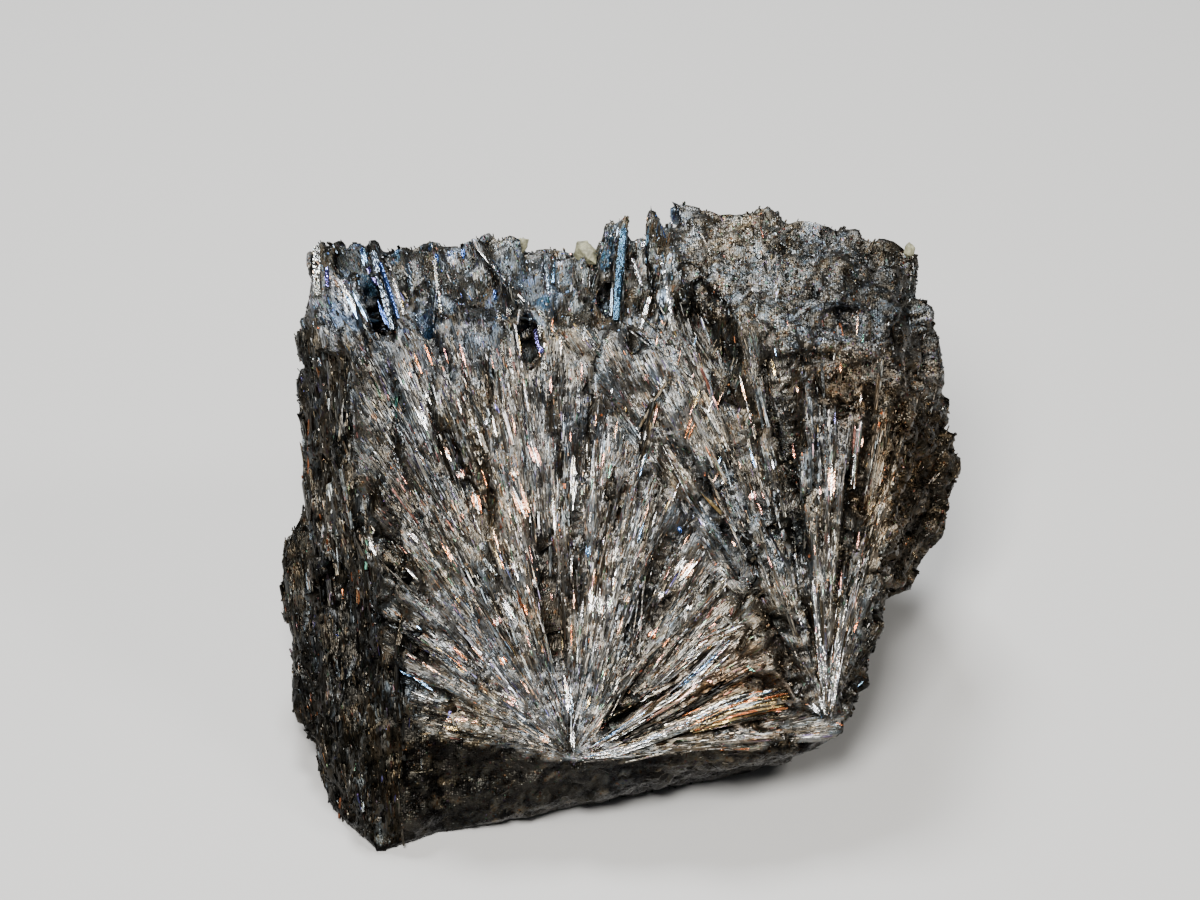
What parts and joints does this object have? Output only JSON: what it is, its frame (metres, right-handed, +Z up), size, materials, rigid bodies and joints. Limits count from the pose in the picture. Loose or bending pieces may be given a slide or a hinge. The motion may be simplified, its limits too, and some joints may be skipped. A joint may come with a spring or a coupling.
{
  "type": "stibnite crystal spray",
  "caption": "Broken lump of bladed metallic crystals fanning from two roots low on its front face, with free-standing blades along the top edge and a flat underside to rest on.",
  "frame": {"origin": "centre of the bounding box, at the flat underside that it rests on", "axes": "+Z up from the underside, +X to the right along the width, and the fan face looks towards -Y and up"},
  "size_m": [0.0506, 0.0372, 0.0339],
  "materials": {
    "stibnite": "splintery metallic lustre, steel grey with brown, copper and blue tarnish",
    "pale_mineral": "dull sugary grain"
  },
  "bodies": {
    "root": {"stibnite_mass": "stibnite", "pale_grain_middle": "pale_mineral", "pale_grain_left": "pale_mineral", "pale_grain_right": "pale_mineral"}
  },
  "joints": []
}
